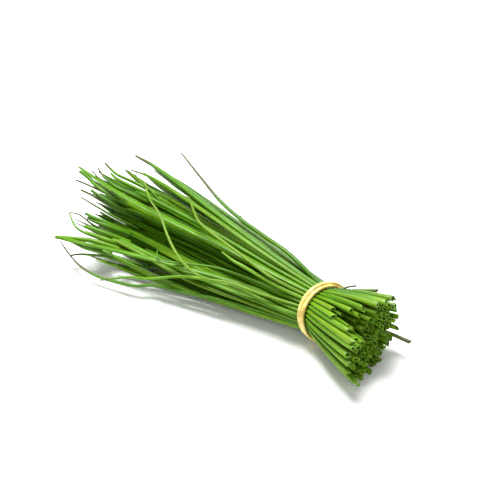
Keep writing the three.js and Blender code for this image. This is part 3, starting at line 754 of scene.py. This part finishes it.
bandLook = {
    "cloud": (180.0, 2.0), "grain": (1400.0, 3.0),            # noise: scale and detail
    "colours": [(0.32, (0.50, 0.33, 0.060, 1)), (0.62, (0.76, 0.61, 0.200, 1))],
    "roughness": 0.5,
    "subsurface": 0.1, "subsurfaceRadius": (1.0, 0.5, 0.2), "subsurfaceScale": 0.001,
    "bump": {"Strength": 0.5, "Distance": 0.0001},
}


def bandMaterial():
    # latex: two tones in clouds, with a fine grain in the bump
    material = bpy.data.materials.new("latex")
    tree, add = nodeTools(material)
    surface = tree.nodes["Principled BSDF"]
    coordinates = add("ShaderNodeTexCoord").outputs["Object"]
    grain = addNoise(add, coordinates, *bandLook["grain"])
    cloud = addNoise(add, coordinates, *bandLook["cloud"])
    tree.links.new(addRamp(add, cloud, bandLook["colours"]), surface.inputs["Base Color"])
    surface.inputs["Roughness"].default_value = bandLook["roughness"]
    surface.inputs["Subsurface Weight"].default_value = bandLook["subsurface"]
    surface.inputs["Subsurface Radius"].default_value = bandLook["subsurfaceRadius"]
    surface.inputs["Subsurface Scale"].default_value = bandLook["subsurfaceScale"]
    bump = add("ShaderNodeBump", {"Height": grain, **bandLook["bump"]})
    tree.links.new(bump.outputs[0], surface.inputs["Normal"])
    return material


def makeBand():
    # a rounded section, cos and sin to the power of corner, carried round bandLoop()
    steps, sides = band["steps"], band["sides"]
    turn = np.arange(steps) * 4 * np.pi / steps
    around = np.arange(sides) * 2 * np.pi / sides
    x, angle, radius = bandLoop(turn, band["gap"], band["halfThickness"], band["crossing"])
    thick, wide = (np.sign(v) * np.abs(v) ** band["corner"] for v in (np.cos(around), np.sin(around)))
    reach = radius[:, None] + band["halfThickness"] * thick
    points = np.stack([x[:, None] + band["halfWidth"] * wide, reach * np.cos(angle)[:, None],
                       bunch["bandHeight"] + reach * np.sin(angle)[:, None]], 2).reshape(-1, 3)
    step, spoke = np.meshgrid(np.arange(steps), np.arange(sides), indexing="ij")
    after, following = (step + 1) % steps, (spoke + 1) % sides
    quads = np.stack([step * sides + spoke, after * sides + spoke,
                      after * sides + following, step * sides + following], 2).reshape(-1, 4)
    return newMesh("rubberBand", place(points), quads, np.zeros((0, 3), int))


blades = layOutBlades()
print("blades laid out:", len(blades["ring"]))

# the leaf twice: as it is, and a copy with painted shade for the inner blades
leaf = leafMaterial("chiveLeaf", 0, leafLook["specular"])
shadedInnerLeaf = leafMaterial("chiveLeafInsidePaintedShade", leafLook["paintedInsideShade"], leafLook["insideSpecular"])

inside = bladeMesh("innerBlades", pick(blades, ~blades["outer"]), blade["innerSides"], blade["innerSteps"])
inside.data.materials.append(shadedInnerLeaf)
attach(inside, "root")
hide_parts("inner_blades")
print("inner blades made")

for slot in range(6 * bunch["rings"]):
    one = pick(blades, isBlade(blades, bunch["rings"], slot))
    piece = bladeMesh(f"outerBlade{slot + 1:02d}", one, blade["outerSides"], blade["outerSteps"])
    piece.data.materials.append(leaf)
    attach(piece, "root")
    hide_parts(f"outer_blade_{slot + 1:02d}")
print("outer blades made")

threads = strandMesh("fineStrands")
threads.data.materials.append(leaf)
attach(threads, "root")
print("fine strands made")

rubberBand = makeBand()
rubberBand.data.materials.append(bandMaterial())
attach(rubberBand, "root")
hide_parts("rubber_band")
print("rubber band made")

# the camera looks so that a point over the band's middle lands at pointAt, in pixels of the frame
view = {
    "azimuth": 44, "elevation": 37, "distance": 700,
    "focalPixels": 1221, "sensor": 36,
    "point": (0, 0, 19.5), "pointAt": (325, 311), "frame": (480, 500),
}


def makeCamera():
    # camera = point - X right - Y up + distance back, with X, Y the point's offset from the frame's middle
    azimuth, elevation = np.radians(view["azimuth"]), np.radians(view["elevation"])
    level = np.cos(elevation)
    back = np.array([np.sin(azimuth) * level, -np.cos(azimuth) * level, np.sin(elevation)])
    right = np.array([np.cos(azimuth), np.sin(azimuth), 0])
    up = np.cross(back, right)
    offsetX = (view["pointAt"][0] - view["frame"][0] / 2) / view["focalPixels"] * view["distance"]
    offsetY = -(view["pointAt"][1] - view["frame"][1] / 2) / view["focalPixels"] * view["distance"]
    where = place(np.array(view["point"]) - offsetX * right - offsetY * up + view["distance"] * back)
    data = bpy.data.cameras.new("camera")
    data.sensor_width = view["sensor"]
    data.lens = view["sensor"] * view["focalPixels"] / max(view["frame"])
    camera = bpy.data.objects.new("camera", data)
    rows = np.column_stack([right, up, back, where]).tolist()
    camera.matrix_world = Matrix(rows + [[0, 0, 0, 1]])
    bpy.context.scene.collection.objects.link(camera)
    bpy.context.scene.camera = camera


makeCamera()
print("camera made")

studio = {
    "floor": (0.94, 0.94, 0.94, 1), "floorSize": 12, "floorRoughness": 0.9,
    "sky": (1, 1, 1, 1), "skyStrength": 0.4,
    "key": {"energy": 39, "size": 0.7, "at": (-0.42, 0.2, 1.15)},
    "fill": {"energy": 5, "size": 1.2, "at": (0.6, -0.9, 0.7)},
}


def makeStudio():
    # a plain pale floor, an even sky and two soft lamps that look at the origin
    bpy.ops.mesh.primitive_plane_add(size=studio["floorSize"], location=(0, 0, 0))
    floor = bpy.context.object
    floor.name = "floor"
    material = bpy.data.materials.new("paleFloor")
    material.use_nodes = True
    surface = material.node_tree.nodes["Principled BSDF"]
    surface.inputs["Base Color"].default_value = studio["floor"]
    surface.inputs["Roughness"].default_value = studio["floorRoughness"]
    floor.data.materials.append(material)
    for name in ("key", "fill"):
        light = bpy.data.lights.new(name, "AREA")
        light.energy = studio[name]["energy"]
        light.size = studio[name]["size"]
        lamp = bpy.data.objects.new(name, light)
        lamp.location = studio[name]["at"]
        lamp.rotation_euler = (-Vector(studio[name]["at"])).to_track_quat("-Z", "Y").to_euler()
        bpy.context.scene.collection.objects.link(lamp)
    world = bpy.data.worlds.new("studio")
    world.use_nodes = True
    background = world.node_tree.nodes["Background"]
    background.inputs["Color"].default_value = studio["sky"]
    background.inputs["Strength"].default_value = studio["skyStrength"]
    bpy.context.scene.world = world
    bpy.context.scene.view_settings.view_transform = "Standard"


makeStudio()
print("studio made")
